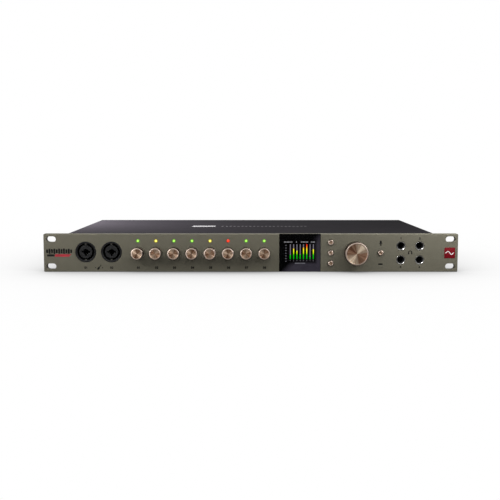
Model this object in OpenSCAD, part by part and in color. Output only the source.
// Eight-channel microphone preamp in a one-unit (1U) 19-inch rack housing.
// Millimetres. +X to the right seen from the front, +Y towards the rear, +Z up.
// The origin is the centre of the rack-slot pattern, on the panel's rear face, where the rack's rails lie.

/* [Front panel] */
// Width of the panel over the rack ears (19 inches)
panel_w = 482.6; // [470:0.1:483]
// Height of the panel, within one rack unit of 44.45 mm
panel_h = 44.4; // [43.6:0.1:44.4]
// Thickness of the panel
panel_t = 8; // [7:0.5:10]
// Radius of the panel's corners, seen from the front
panel_corner_r = 1.5; // [0.5:0.1:3]
// Chamfer along the panel's front edges
panel_chamfer = 0.5; // [0.2:0.1:0.8]

/* [Rack slots] */
// Distance between the left and right slots, centre to centre
slot_pitch_x = 465.1; // [460:0.1:466]
// Distance between the upper and lower slots, centre to centre
slot_pitch_z = 31.75; // [31:0.05:32]
// Width of a slot, which is its height in the panel
slot_w = 6.8; // [6.4:0.1:7.2]
// Length of a slot, end to end
slot_l = 11.4; // [9:0.1:12]

/* [Chassis] */
// Width of the chassis behind the panel
chassis_w = 434; // [426:1:438]
// Length of the chassis, from the panel's rear face to the rear panel's outer face
chassis_l = 242; // [242:1:300]
// Drop of the top cover below the panel's upper edge
cover_drop = 0.8; // [0.4:0.1:1.2]
// Thickness of the chassis and cover sheet
sheet_t = 1.2; // [1:0.1:1.4]
// Outer bend radius of the cover
bend_r = 2; // [1.6:0.1:3]
// Number of vent slots in each side of the cover
vent_count = 18; // [6:1:22]

/* [Gain knobs] */
// Number of channels with a gain knob and a level light
channels = 8; // [4:1:8]
// Place of the first channel's knob across the panel
gain_x = -131.4; // [-132:0.1:-128]
// Distance from one gain knob to the next
gain_pitch = 21; // [19:0.1:21]
// Diameter of a gain knob
gain_knob_d = 14; // [12:0.5:16]
// Length of a gain knob, front to back
gain_knob_l = 11.7; // [10:0.1:14]
// Height of the level lights above the knobs' centres
led_z = 14; // [12:0.1:15]
// Diameter of a level light
led_d = 2.6; // [2:0.1:3]

/* [Monitor controls] */
// Place of the main knob across the panel
main_x = 122.2; // [120:0.1:124]
// Diameter of the main knob
main_knob_d = 27; // [24:0.5:28]
// Length of the main knob, front to back
main_knob_l = 13.2; // [11:0.1:15]
// Place of the three menu buttons across the panel
menu_x = 93.2; // [91:0.1:95]
// Distance from one menu button to the next, up the panel
menu_pitch = 12.2; // [10:0.1:13]
// Place of the talkback button across the panel
talk_x = 151.3; // [149:0.1:153]
// Diameter of a button
button_d = 6.4; // [5:0.1:7]
// How far a button stands out of the panel
button_out = 2.2; // [1.5:0.1:3]
// Travel of the buttons and of the knobs when they are pressed
press = 0.5; // [0.2:0.1:0.6]

/* [Display] */
// Place of the display window's centre across the panel
window_x = 57.2; // [56:0.1:58]
// Width of the display window
window_w = 48.4; // [44:0.1:49]
// Thickness of the window
window_t = 2; // [1.5:0.1:3]

/* [Sockets] */
// Place of the first combo socket across the panel
combo_x = -192.3; // [-194:0.1:-190]
// Distance between the two front combo sockets
combo_pitch = 30; // [28:0.1:31]
// Height of the front combo sockets above the middle of the panel
combo_z = 1; // [0:0.1:2]
// Diameter of a combo socket's round front
combo_d = 24; // [23:0.1:25]
// Place of the centre of the four headphone jacks across the panel
phones_x = 185.7; // [184:0.1:187]
// Distance between headphone jacks, across
phones_pitch_x = 21.9; // [18:0.1:23]
// Distance between headphone jacks, up
phones_pitch_z = 16.4; // [15:0.1:17]
// Depth of a headphone jack's black core inside its bright ring
jack_recess = 4; // [1.4:0.1:5]
// Radius of a quarter-inch jack's bore
jack_r = 3.25; // [3.2:0.01:3.3]

/* [Hidden] */
$fn = 64;
e = 0.01;                    // overshoot of a cutting solid past the face that it cuts

// Heights and planes of the housing
z_top = panel_h / 2;
z_floor = -panel_h / 2;
z_cover = z_top - cover_drop;
z_base = z_floor + sheet_t;  // upper face of the base plate
inner_x = chassis_w / 2 - sheet_t - 0.1;  // half the width of what fits inside the cover
y_front = -panel_t;          // the panel's front face
y_rear = chassis_l;          // the rear panel's outer face
rear_t = 1.5;
gap = 0.05;                  // clearance of a running fit, and of pieces set into one another
clear = 0.1;                 // clearance round a piece that passes through a sheet

// Printed-circuit boards
board_t = 1.6;
control_y = 9;               // front face of the control board
control_x = [-138.4, 160];
control_z = [-13.6, 19];
main_z = -14.6;              // upper face of the main board
main_x_half = 205;
main_y = [15, y_rear - 14];

// Places of repeated controls and sockets
gain_xs = [for (i = [0 : channels - 1]) gain_x + i * gain_pitch];
menu_zs = [menu_pitch, 0, -menu_pitch];
button_places = [for (z = menu_zs) [menu_x, z], [talk_x, 0]];
combo_xs = [combo_x, combo_x + combo_pitch];
phone_places = [for (dz = [0.5, -0.5], dx = [-0.5, 0.5])
    [phones_x + dx * phones_pitch_x, dz * phones_pitch_z]];
talk_mic_z = 12.2;
badge_x = 231.7;
badge_size = 12.4;
badge_in = 0.5;              // how far the badge is set into the panel
badge_out = 0.3;
view_w = 44;                 // opening in the panel and the front wall behind the window
view_h = 36.8;
led_colours = ["green", "yellow", "green", "green", "yellow", "red", "green", "green"];

// Encoders: a threaded bushing through the base's front wall, with its nut in a pocket behind the panel
shaft_r = 3;
bushing_r = 3.6;
bushing_l = 5;
encoder_y = sheet_t;         // front of the encoder's body, on the rear of the front wall
nut_pocket_r = 6.4;
nut_pocket_l = 4;
nut_af = 10;                 // across flats
nut_t = 2;
press_room = 0.3;            // room left behind a knob or a shaft that is fully pressed
knob_gap = press + press_room;
shaft_end_y = control_y - press - press_room;
shaft_grip = 2.9;            // from a knob's face to the end of the bore for its shaft
gain_rim = 1.6;              // width of the bevelled rim of a gain knob
main_rim = 1.8;              // width of the main knob's rim
collar_r = 1.4;              // room for a button's collar, past the button

// Combo sockets
shell_r = 9.8;               // outer wall of the groove for an XLR plug's shell
core_r = 7.65;               // the core inside that groove
core_in = 0.6;               // the core's face behind the socket's front
shell_depth = 12;
combo_depth = 34;
contact_ring_r = 3.95;       // from the core's centre to each contact hole
combo_screw = 10.6;          // from a rear combo's centre to its screws, across and up

// Rear sockets, as [place across, place up]
rear_combo_xs = [for (i = [0 : 5]) 195 - 29 * i];
monitor_xs = [27, 9];
dsub_places = [[-28, 9.6], [-28, -9.6]];
bnc_places = [[-68, 9.4], [-68, -9.4]];
rca_places = [[-84, 9.4], [-84, -9.4]];
optical_places = [for (x = [-101, -114], z = [8, -8]) [x, z]];
usb_places = [[-134, 0], [-152, 0]];
dc_place = [-182, 0];
dsub_lock = 23.5;            // from a D-sub connector's centre to its locking posts
pin_pitch = 2.76;

// Screws
panel_screw_xs = [-208, -143.6, 27.3, 104.5, 161.6, 208];
panel_screw_z = 16;
side_screw_ys = [30, 126, y_rear - 20];
side_screw_z = -14;
top_screw_xs = [-190, -64, 64, 190];
base_flange_h = 12;
rear_flange_l = 12;
top_screw_y = y_rear - 7;
vent_l = 22;
vent_w = 2.2;
vent_pitch = 4.6;
vent_y = y_rear - 100;       // the first vent slot
vent_z = 3;
standoff_places = [for (x = [-195, -70, 70, 195], y = [40, 125, y_rear - 41]) [x, y]];
control_post_places = [[-133, -10], [gain_x + 6.5 * gain_pitch, -10], [108, 9.5], [146, -10]];

// ---- Placing ----------------------------------------------------------------------------------
// Children are drawn facing out along +Z, with +Y up; depth 0 is the outer face of the panel.

module front_at(x, z) translate([x, y_front, z]) rotate([90, 0, 0]) children();

module rear_at(x, z) translate([x, y_rear, z]) rotate([90, 0, 180]) children();

// A cylinder along Z from z0 to z1
module rod(r, z0, z1) translate([0, 0, z0]) cylinder(r = r, h = z1 - z0);

// A cone along Z from z0 to z1
module cone(r0, r1, z0, z1) translate([0, 0, z0]) cylinder(r1 = r0, r2 = r1, h = z1 - z0);

// A hole through the front wall of the base, which lies on the panel's rear face
module wall_hole(r) rod(r, -panel_t - sheet_t - 1, -panel_t + 1);

// A hole through the rear panel
module rear_hole(r) rod(r, -rear_t - 1, 1);

// A box centred on Z from z0 to z1
module block(w, h, z0, z1) translate([-w / 2, -h / 2, z0]) cube([w, h, z1 - z0]);

// A box from its two corners
module span(lo, hi) translate(lo) cube(hi - lo);

// A flat outline with round ends, along X
module slot_outline(length, width) {
    square([length - width, width], center = true);
    for (s = [-1, 1]) translate([s * (length - width) / 2, 0]) circle(d = width);
}

// A rectangle with round corners
module round_rect(w, h, r) {
    square([w - 2 * r, h], center = true);
    square([w, h - 2 * r], center = true);
    for (sx = [-1, 1], sy = [-1, 1]) translate([sx * (w / 2 - r), sy * (h / 2 - r)]) circle(r = r);
}

// ---- Housing ----------------------------------------------------------------------------------

module panel_edge_chamfers() {
    side = panel_chamfer * sqrt(2);
    for (s = [-1, 1]) {
        translate([0, y_front, s * z_top]) rotate([45, 0, 0]) cube([panel_w + 2, side, side], center = true);
        translate([s * panel_w / 2, y_front, 0]) rotate([0, 0, 45])
            cube([side, side, panel_h + 2], center = true);
    }
}

// A through hole with a chamfered mouth
module panel_hole(r, chamfer = 0.3) {
    rod(r, -panel_t - 1, 1);
    cone(r, r + chamfer + e, -chamfer, e);
}

module front_panel() color([0.40, 0.39, 0.33]) difference() {
    rotate([90, 0, 0]) linear_extrude(panel_t) round_rect(panel_w, panel_h, panel_corner_r);
    panel_edge_chamfers();
    for (sx = [-1, 1], sz = [-1, 1])
        translate([sx * slot_pitch_x / 2, 1, sz * slot_pitch_z / 2]) rotate([90, 0, 0])
            linear_extrude(panel_t + 2) slot_outline(slot_l, slot_w);
    // the window's pocket, open above and below, with the display opening behind it
    span([window_x - window_w / 2, y_front - 1, z_floor - 1],
        [window_x + window_w / 2, y_front + window_t, z_top + 1]);
    span([window_x - view_w / 2, y_front, -view_h / 2], [window_x + view_w / 2, 1, view_h / 2]);
    for (x = combo_xs) front_at(x, combo_z) panel_hole(combo_d / 2 + clear, 0.2);
    for (x = gain_xs) {
        front_at(x, 0) panel_hole(shaft_r + 0.4);
        front_at(x, led_z) rod(led_d / 2 + gap, -panel_t - 1, 1);
    }
    front_at(main_x, 0) panel_hole(shaft_r + 0.4);
    for (x = [each gain_xs, main_x]) front_at(x, 0) rod(nut_pocket_r, -panel_t - 1, -panel_t + nut_pocket_l);
    for (p = button_places) front_at(p.x, p.y) {
        panel_hole(button_d / 2 + 0.2, 0.2);
        rod(button_d / 2 + collar_r, -panel_t - 1, -panel_t + 1.5);
    }
    for (p = phone_places) front_at(p.x, p.y) panel_hole(5.1, 0.35);
    front_at(talk_x, talk_mic_z) {
        rod(0.6, -panel_t - 1, 1);
        rod(3.1, -panel_t - 1, -2);
    }
    front_at(badge_x, 0) block(badge_size + clear, badge_size + clear, -badge_in, 1);
    for (x = panel_screw_xs, s = [-1, 1])
        translate([x, 0, s * panel_screw_z]) rotate([90, 0, 0]) rod(1.65, -1, 5);
}

module chassis_base() color([0.16, 0.155, 0.165]) difference() {
    union() {
        span([-chassis_w / 2, 0, z_floor], [chassis_w / 2, y_rear, z_base]);
        // front wall, which carries the panel and the encoders
        span([-inner_x, 0, z_floor], [inner_x, sheet_t, z_cover - sheet_t - clear]);
        // side flanges inside the cover
        for (s = [-1, 1]) {
            x_out = s * inner_x;
            x_in = x_out - s * sheet_t;
            span([min(x_in, x_out), 0, z_floor],
                [max(x_in, x_out), y_rear - rear_t - 2 * clear, z_base + base_flange_h]);
        }
    }
    for (x = combo_xs) front_at(x, combo_z) wall_hole(combo_d / 2 + 2 * clear);
    for (x = [each gain_xs, main_x]) front_at(x, 0) wall_hole(bushing_r + clear);
    for (x = gain_xs) front_at(x, led_z) wall_hole(led_d / 2 + 2 * clear);
    for (p = button_places) front_at(p.x, p.y) wall_hole(button_d / 2 + collar_r + 2 * clear);
    for (p = phone_places) front_at(p.x, p.y) wall_hole(5.3);
    span([window_x - view_w / 2, -1, -view_h / 2], [window_x + view_w / 2, 3, view_h / 2]);
    front_at(talk_x, talk_mic_z) wall_hole(3.4);
    for (x = panel_screw_xs, s = [-1, 1])
        translate([x, 0, s * panel_screw_z]) rotate([90, 0, 0]) rod(2.1, -3, 1);
    for (s = [-1, 1], y = side_screw_ys)
        translate([s * chassis_w / 2, y, side_screw_z]) rotate([0, s * 90, 0]) rod(1.3, -5, 1);
    for (x = top_screw_xs) translate([x, top_screw_y, z_floor]) {
        rod(1.6, -1, sheet_t + 1);
        cone(2.95, 1.65, -e, sheet_t);
    }
}

// Profile of the cover: a flat top with round bends and two sides
module cover_outline(w, h, r) {
    translate([-w / 2 + r, 0]) square([w - 2 * r, h]);
    translate([-w / 2, 0]) square([w, h - r]);
    for (s = [-1, 1]) translate([s * (w / 2 - r), h - r]) circle(r = r);
}

module top_cover() color([0.20, 0.195, 0.205]) difference() {
    cover_h = z_cover - z_base;
    translate([0, y_rear, z_base]) rotate([90, 0, 0]) linear_extrude(y_rear) difference() {
        cover_outline(chassis_w, cover_h, bend_r);
        translate([0, -1]) cover_outline(chassis_w - 2 * sheet_t, cover_h + 1 - sheet_t, bend_r - sheet_t);
    }
    for (s = [-1, 1], i = [0 : vent_count - 1])
        translate([s * (chassis_w / 2 + 1), vent_y + vent_pitch * i, vent_z]) rotate([0, -s * 90, 0])
            linear_extrude(4) slot_outline(vent_l, vent_w);
    for (s = [-1, 1], y = side_screw_ys)
        translate([s * chassis_w / 2, y, side_screw_z]) rotate([0, s * 90, 0]) rod(1.65, -3, 1);
    for (x = top_screw_xs) translate([x, top_screw_y, z_cover]) {
        rod(1.6, -3, 1);
        cone(1.65, 2.95, -sheet_t, e);
    }
}

module rear_panel() color([0.14, 0.14, 0.145]) difference() {
    flange_x = inner_x - 4;
    union() {
        span([-inner_x, y_rear - rear_t, z_base], [inner_x, y_rear, z_cover - sheet_t]);
        // upper and lower flanges, for the cover's and the base's screws
        for (z = [z_base, z_cover - 2 * sheet_t])
            span([-flange_x, y_rear - rear_flange_l, z], [flange_x, y_rear, z + sheet_t]);
    }
    for (x = rear_combo_xs) rear_at(x, 0) {
        rear_hole(combo_d / 2 + clear);
        for (s = [-1, 1]) translate([s * combo_screw, s * combo_screw, 0]) rear_hole(1.3);
    }
    for (x = monitor_xs) rear_at(x, 0) rear_hole(4.6);
    for (p = dsub_places) rear_at(p.x, p.y) {
        block(39.4, 8.9, -3, 1);
        for (s = [-1, 1]) translate([s * dsub_lock, 0, 0]) rear_hole(1.6);
    }
    for (p = bnc_places) rear_at(p.x, p.y) rear_hole(4.95);
    for (p = rca_places) rear_at(p.x, p.y) rear_hole(4.3);
    for (p = optical_places) rear_at(p.x, p.y) block(10.1, 10.1, -3, 1);
    for (p = usb_places) rear_at(p.x, p.y) translate([0, 0, -3]) linear_extrude(4) slot_outline(9.3, 3.5);
    rear_at(dc_place.x, dc_place.y) rear_hole(5.1);
    for (x = top_screw_xs) translate([x, top_screw_y, 0]) rod(1.3, z_floor, z_top);
}

// ---- Fasteners --------------------------------------------------------------------------------

// A pan-head screw, head above Z 0 and shank below, with a hexagon socket
module pan_screw(head_r, head_h, shank_r, shank_l) difference() {
    union() {
        rod(shank_r, -shank_l, e);
        rod(head_r, 0, head_h * 0.6);
        cone(head_r, head_r * 0.7, head_h * 0.6, head_h);
    }
    translate([0, 0, head_h * 0.35]) cylinder(r = head_r * 0.42, h = head_h, $fn = 6);
}

// A countersunk screw, its head's face at Z 0
module flat_screw(head_r, shank_r, length) difference() {
    union() {
        rod(shank_r, -length, -sheet_t);
        cone(shank_r, head_r, -sheet_t, 0);
    }
    translate([0, 0, -0.8]) cylinder(r = head_r * 0.4, h = 2, $fn = 6);
}

module panel_screws() color([0.72, 0.72, 0.72])
    for (x = panel_screw_xs, s = [-1, 1])
        translate([x, sheet_t, s * panel_screw_z]) rotate([-90, 0, 0]) pan_screw(3.3, 2.4, 1.6, 5.5);

module chassis_screws() color([0.1, 0.1, 0.1]) {
    for (s = [-1, 1], y = side_screw_ys)
        translate([s * chassis_w / 2, y, side_screw_z]) rotate([0, s * 90, 0]) pan_screw(2.7, 1.6, 1.25, 4.2);
    for (x = top_screw_xs) {
        translate([x, top_screw_y, z_cover]) flat_screw(2.9, 1.25, 4);
        translate([x, top_screw_y, z_floor]) mirror([0, 0, 1]) flat_screw(2.9, 1.25, 4);
    }
}

module connector_screws() color([0.12, 0.12, 0.12]) {
    for (x = rear_combo_xs, s = [-1, 1]) rear_at(x, 0)
        translate([s * combo_screw, s * combo_screw, 0]) pan_screw(2.1, 1.3, 1.25, 6);
    for (p = dsub_places, s = [-1, 1]) rear_at(p.x, p.y) translate([s * dsub_lock, 0, 1]) difference() {
        union() {
            cylinder(r = 2.75, h = 5, $fn = 6);
            rod(1.4, -5, e);
        }
        rod(1.2, 0.5, 6);
    }
}

// A hexagon nut with a plain bore, on Z 0
module hex_nut(af, bore_r, h) difference() {
    cylinder(r = af / 2 / cos(30), h = h, $fn = 6);
    rod(bore_r, -1, h + 1);
}

module bushing_nuts() color([0.75, 0.74, 0.70]) {
    for (x = [each gain_xs, main_x])
        translate([x, 0, 0]) rotate([90, 0, 0]) hex_nut(nut_af, bushing_r + gap, nut_t);
    for (x = monitor_xs) rear_at(x, 0) hex_nut(12, 4.45, 2);
    rear_at(dc_place.x, dc_place.y) hex_nut(14, 5.05, 2);
}

// ---- Display ----------------------------------------------------------------------------------

module badge() color([0.62, 0.06, 0.10])
    front_at(badge_x, 0) block(badge_size, badge_size, -badge_in, badge_out);

module display_window() color([0.03, 0.03, 0.035, 0.6])
    span([window_x - window_w / 2 + gap, y_front, z_floor],
        [window_x + window_w / 2 - gap, y_front + window_t - gap, z_top]);

module lcd_module() color([0.05, 0.05, 0.055]) difference() {
    span([window_x - 21.6, y_front + window_t + 0.3, -18], [window_x + 21.6, 2.6, 18]);
    // shallow recess around the active screen
    span([window_x - 20, y_front, -16.5], [window_x + 20, y_front + window_t + 0.8, 16.5]);
}

// ---- Boards and what they carry ---------------------------------------------------------------

module control_board() color([0.06, 0.20, 0.12]) difference() {
    span([control_x[0], control_y, control_z[0]], [control_x[1], control_y + board_t, control_z[1]]);
    for (p = control_post_places) translate([p.x, 0, p.y]) rotate([-90, 0, 0]) rod(1.6, 5, 15);
}

module main_board() color([0.06, 0.20, 0.12]) difference() {
    span([-main_x_half, main_y[0], main_z - board_t], [main_x_half, main_y[1], main_z]);
    for (p = standoff_places) translate([p.x, p.y, 0]) rod(1.6, main_z - 3, main_z + 1);
}

// A hexagon standoff with a blind thread, on Z 0
module standoff(h) difference() {
    cylinder(r = 3.2, h = h, $fn = 6);
    rod(1.5, h - 4, h + 1);
}

module board_standoffs() color([0.78, 0.70, 0.45]) {
    for (p = standoff_places) translate([p.x, p.y, z_base]) standoff(main_z - board_t - z_base);
    for (p = control_post_places)
        translate([p.x, sheet_t, p.y]) rotate([-90, 0, 0]) standoff(control_y - sheet_t);
}

module board_screws() color([0.72, 0.72, 0.72]) {
    for (p = standoff_places) translate([p.x, p.y, main_z]) pan_screw(2.7, 1.8, 1.45, 4.5);
    for (p = control_post_places)
        translate([p.x, control_y + board_t, p.y]) rotate([-90, 0, 0]) pan_screw(2.7, 1.8, 1.45, 4.5);
}

module processor_chips() color([0.08, 0.08, 0.085]) translate([0, 0, main_z]) {
    for (p = [[-150, 95], [-150, 150], [-96, 150]]) translate([p.x, p.y, 0]) block(23, 23, 0, 2.2);
    for (i = [0 : 3], j = [0 : 1]) translate([-60 + 22 * i, 146 + 22 * j, 0]) block(10, 10, 0, 1.4);
    for (i = [0 : 7]) translate([gain_xs[min(i, channels - 1)] + 58, 112, 0]) block(6, 8, 0, 1.6);
}

// One discrete preamp stage: an upright board with a row of six transistors
module preamp_module() {
    translate([-0.8, 0, 0]) cube([1.6, 36, 22]);
    for (i = [0 : 5]) translate([0.8, 3 + 5.2 * i, 6]) cube([2.6, 4, 5]);
    translate([0.8, 6, 15]) cube([3.2, 24, 4]);
}

module preamp_modules() color([0.10, 0.16, 0.28])
    for (i = [0 : 7]) translate([-50 + 21 * i, 58, main_z]) preamp_module();

module heat_sink() color([0.25, 0.25, 0.26]) translate([-150, 95, main_z + 2.2]) {
    block(36, 36, 0, 3);
    for (i = [0 : 8]) translate([-18 + 4.25 * i, -18, 3 - e]) cube([2, 36, 13]);
}

module capacitors() color([0.09, 0.09, 0.13]) translate([0, 0, main_z]) {
    for (i = [0 : 5]) translate([-179, 66 + 15 * i, 0]) capacitor(5, 16);
    for (i = [0 : 11]) translate([-45 + 17 * i, y_rear - 52, 0]) capacitor(3.2, 9);
}

// An electrolytic can with its crimped waist
module capacitor(r, h) rotate_extrude() polygon([
    [0, 0], [r, 0], [r, h * 0.12], [r * 0.93, h * 0.16], [r, h * 0.2], [r, h - 0.4], [r - 0.4, h], [0, h]]);

// Flat cable from the control board down to the main board: a straight run, a quarter bend and a drop
ribbon_r = 6;
ribbon_t = 0.8;
ribbon_w = 34;
module ribbon_cable() color([0.55, 0.56, 0.58]) {
    y0 = control_y + board_t;
    y1 = y0 + 10;
    z0 = -2;
    half_t = ribbon_t / 2;
    translate([-20, 0, 0]) {
        span([0, y0, z0 - half_t], [ribbon_w, y1, z0 + half_t]);
        translate([0, y1, z0 - ribbon_r]) rotate([0, 90, 0]) rotate([0, 0, 90])
            rotate_extrude(angle = 90) translate([ribbon_r - half_t, 0]) square([ribbon_t, ribbon_w]);
        span([0, y1 + ribbon_r - half_t, main_z], [ribbon_w, y1 + ribbon_r + half_t, z0 - ribbon_r]);
    }
}

// ---- Encoders, lights and buttons -------------------------------------------------------------

// Drawn along the encoder's axis: Z 0 is the panel's front, and the body lies behind
module encoder_body(w) {
    front = -panel_t - encoder_y;
    difference() {
        union() {
            block(w, w, -panel_t - control_y, front);
            rod(bushing_r, front - e, front + bushing_l);
        }
        rod(shaft_r + gap, -panel_t - shaft_end_y, 0);
        rod(4.8, -panel_t - control_y + 0.2, front - 1.6);
    }
}

module encoder_bodies() color([0.30, 0.30, 0.31]) {
    for (x = gain_xs) front_at(x, 0) encoder_body(12);
    front_at(main_x, 0) encoder_body(14);
}

// A shaft with the collar that keeps it in its encoder, for a knob of length knob_l
module encoder_shaft(knob_l) color([0.70, 0.70, 0.70]) {
    rod(shaft_r, -panel_t - shaft_end_y, knob_gap + knob_l - 3);
    rod(4.5, -panel_t - 6.2, -panel_t - 5);
}

module gain_shaft(i) front_at(gain_xs[i], 0) encoder_shaft(gain_knob_l);

// A turned knob: a bevelled rim, a face set slightly below it, a hollow back and a bore for the shaft
module knob(r, l, rim, bore_l) rotate_extrude() polygon([
    [shaft_r + gap, knob_gap], [shaft_r + 1.6, knob_gap], [shaft_r + 1.6, knob_gap + l * 0.55],
    [r - 1.4, knob_gap + l * 0.55], [r - 1.4, knob_gap], [r - 0.2, knob_gap], [r, knob_gap + 0.2],
    [r, knob_gap + l - rim * 0.7], [r - rim * 0.7, knob_gap + l], [r - rim, knob_gap + l],
    [r - rim - 0.15, knob_gap + l - 0.25], [0, knob_gap + l - 0.25], [0, knob_gap + bore_l],
    [shaft_r + gap, knob_gap + bore_l]]);

module gain_knob(i) color([0.66, 0.50, 0.42])
    front_at(gain_xs[i], 0) knob(gain_knob_d / 2, gain_knob_l, gain_rim, gain_knob_l - shaft_grip);

module main_knob() color([0.66, 0.50, 0.42])
    front_at(main_x, 0) knob(main_knob_d / 2, main_knob_l, main_rim, main_knob_l - shaft_grip);

module main_shaft() front_at(main_x, 0) encoder_shaft(main_knob_l);

// A light pipe with a domed end, from the control board to the panel's face
module light_pipe() rotate_extrude() polygon([
    [0, -panel_t - control_y + 0.4], [led_d / 2, -panel_t - control_y + 0.4], [led_d / 2, 0],
    [led_d / 2 * cos(30), 0.18], [led_d / 2 * cos(60), 0.32], [0, 0.38]]);

module lights(colour, rgb) color(rgb)
    for (i = [0 : channels - 1]) if (led_colours[i] == colour) front_at(gain_xs[i], led_z) light_pipe();

// A button cap with the collar that keeps it behind the panel and a stem into its switch
module button() color([0.66, 0.50, 0.42]) {
    r = button_d / 2;
    difference() {
        union() {
            rod(r, -panel_t - 2, button_out - 0.5);
            cone(r, r - 0.5, button_out - 0.5, button_out);
            rod(r + 1, -panel_t + 0.4, -panel_t + 1.4);
            rod(1.5, -panel_t - 6, -panel_t - 2 + e);
        }
        rod(r - 0.7, button_out - 0.2, button_out + 1);
    }
}

module menu_button(i) front_at(menu_x, menu_zs[i]) button();

module talkback_button() front_at(talk_x, 0) button();

module button_switches() color([0.08, 0.08, 0.08])
    for (p = button_places) front_at(p.x, p.y) difference() {
        block(6.2, 6.2, -panel_t - control_y, -panel_t - 5.4);
        rod(1.65, -panel_t - 7, 0);
    }

module talkback_mic() color([0.55, 0.55, 0.55]) front_at(talk_x, talk_mic_z) difference() {
    rod(3, -panel_t - 1, -3);
    rod(2.2, -3.4, 0);
}

// ---- Sockets ----------------------------------------------------------------------------------

// A combined XLR and quarter-inch socket. collar is how far its round front reaches back through the panel
module combo_socket(collar) difference() {
    r = combo_d / 2;
    union() {
        rod(r, -collar, 0.1);
        cone(r, r - 0.5, 0.1, 0.6);
        block(26, 26, -combo_depth, -collar + e);
    }
    // the ring that takes the plug's shell, and the key slot above it
    difference() {
        rod(shell_r, -shell_depth, 2);
        rod(core_r, -shell_depth - 1, -core_in);
    }
    translate([-1.3, shell_r - 0.8, -shell_depth]) cube([2.6, 1.9, shell_depth + 2]);
    rod(jack_r, -combo_depth + 2.4, 1);
    // a funnel and three contact holes, at the sides and below
    cone(jack_r, jack_r + 0.7, -core_in - 0.7, -core_in + e);
    for (a = [0, 180, 270]) rotate([0, 0, a]) translate([contact_ring_r, 0, 0]) rod(1.1, -9, 1);
}

module front_combo(i) color([0.07, 0.07, 0.075])
    front_at(combo_xs[i], combo_z) combo_socket(panel_t + sheet_t + clear);

module rear_combos() color([0.07, 0.07, 0.075])
    for (x = rear_combo_xs) rear_at(x, 0) difference() {
        combo_socket(rear_t + clear);
        for (s = [-1, 1]) translate([s * combo_screw, s * combo_screw, 0]) rod(1.3, -7, 0);
    }

module headphone_jacks() color([0.05, 0.05, 0.05])
    for (p = phone_places) front_at(p.x, p.y) difference() {
        union() {
            rod(4.15, -panel_t - 1.4, -jack_recess);
            block(12, 12, -panel_t - 33, -panel_t - 1.3);
        }
        rod(jack_r, -33.4, 1);
    }

module headphone_bushings() color([0.75, 0.75, 0.76])
    for (p = phone_places) front_at(p.x, p.y) difference() {
        rod(5, -panel_t - 0.6, -0.25);
        rod(4.2, -panel_t - 1, 1);
        cone(4.2, 4.75, -0.8, -0.25 + e);
    }

module monitor_jacks() color([0.06, 0.06, 0.06])
    for (x = monitor_xs) rear_at(x, 0) difference() {
        union() {
            rod(4.4, -rear_t - 0.1, 4);
            block(15, 15, -34, -rear_t);
        }
        rod(jack_r, -30, 5);
        cone(jack_r, jack_r + 0.5, 3.5, 4 + e);
    }

// The D-shaped outline of a 25-way connector
module d_outline(w, h) hull()
    for (s = [-1, 1]) {
        translate([s * (w / 2 - 1.5), h / 2 - 1.5]) circle(r = 1.5, $fn = 24);
        translate([s * (w / 2 - 2.5), -h / 2 + 1.5]) circle(r = 1.5, $fn = 24);
    }

module dsub_ports() color([0.62, 0.62, 0.63])
    for (p = dsub_places) rear_at(p.x, p.y) difference() {
        union() {
            block(53, 12.4, 0, 1);
            linear_extrude(6) d_outline(38.4, 7.9);
            block(38, 8.6, -12, e);
        }
        for (s = [-1, 1]) translate([s * dsub_lock, 0, 0]) rod(1.6, -3, 2);
        for (i = [0 : 12]) translate([(i - 6) * pin_pitch, 1.4, 0]) rod(0.6, 2, 7);
        for (i = [0 : 11]) translate([(i - 5.5) * pin_pitch, -1.4, 0]) rod(0.6, 2, 7);
    }

module bnc_ports() color([0.74, 0.74, 0.72])
    for (p = bnc_places) rear_at(p.x, p.y) {
        difference() {
            union() {
                rod(4.83, -8, 12);
                rod(6.4, 0, 1.6);
                rotate([0, 90, 0]) translate([-10, 0, -5.7]) cylinder(r = 0.95, h = 11.4);
            }
            rod(4.05, 3, 13);
        }
        difference() {
            rod(2.4, 3 - e, 10.6);
            rod(0.7, 5, 11);
        }
    }

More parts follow.
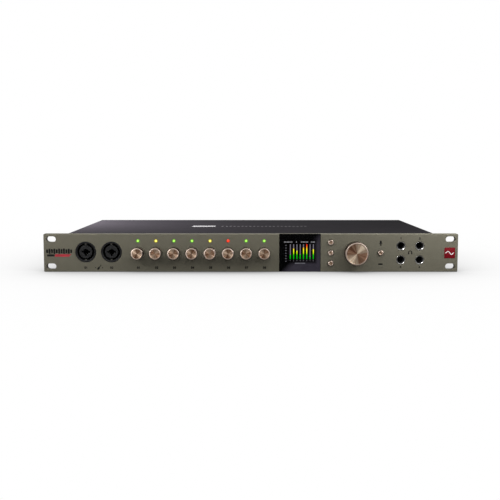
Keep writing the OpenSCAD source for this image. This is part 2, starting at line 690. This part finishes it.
module rca_ports() color([0.80, 0.66, 0.36])
    for (p = rca_places) rear_at(p.x, p.y) difference() {
        union() {
            rod(4.15, -1.6, 9.4);
            rod(6, 0, 1);
            block(11, 13, -12, -1.6);
        }
        rod(1.65, -6, 10);
        cone(1.65, 2.4, 8.6, 9.4 + e);
    }

module optical_ports() color([0.07, 0.07, 0.07])
    for (p = optical_places) rear_at(p.x, p.y) difference() {
        block(9.9, 9.9, -14, 0.8);
        // the square socket with two cut corners
        translate([0, 0, -6.4]) linear_extrude(8)
            polygon([[-4.1, -4.1], [4.1, -4.1], [4.1, 2.6], [2.6, 4.1], [-2.6, 4.1], [-4.1, 2.6]]);
        rod(1.4, -9, 0);
    }

module usb_ports() color([0.70, 0.70, 0.71])
    for (p = usb_places) rear_at(p.x, p.y) {
        translate([0, 0, -9]) linear_extrude(9.4) difference() {
            slot_outline(9, 3.2);
            slot_outline(8.34, 2.56);
        }
        block(9, 3.2, -10, -9 + e);
        block(6.6, 0.7, -9 - e, -1);
    }

module dc_inlet() color([0.08, 0.08, 0.08]) rear_at(dc_place.x, dc_place.y) {
    difference() {
        union() {
            rod(5, -rear_t - 0.1, 3.4);
            block(14, 14, -16, -rear_t);
        }
        rod(3.2, -9, 4);
    }
    rod(1.05, -9 - e, 2);
}

// ---- One node at a time -----------------------------------------------------------------------

front_panel();
chassis_base();
top_cover();
rear_panel();
panel_screws();
chassis_screws();
connector_screws();
badge();
display_window();
lcd_module();
control_board();
main_board();
board_standoffs();
board_screws();
processor_chips();
preamp_modules();
heat_sink();
capacitors();
ribbon_cable();
encoder_bodies();
bushing_nuts();
lights("green", [0.35, 0.85, 0.2]);  // lights_green
lights("yellow", [0.95, 0.85, 0.2]);  // lights_yellow
lights("red", [0.95, 0.12, 0.08]);  // lights_red
button_switches();
talkback_mic();
front_combo(0);  // front_combo_1
front_combo(1);  // front_combo_2
headphone_jacks();
headphone_bushings();
rear_combos();
monitor_jacks();
dsub_ports();
bnc_ports();
rca_ports();
optical_ports();
usb_ports();
dc_inlet();
for (i = [0 : channels - 1]) {
    gain_knob(i);
    gain_shaft(i);
}
main_knob();
main_shaft();
for (i = [0 : 2])
    menu_button(i);
talkback_button();
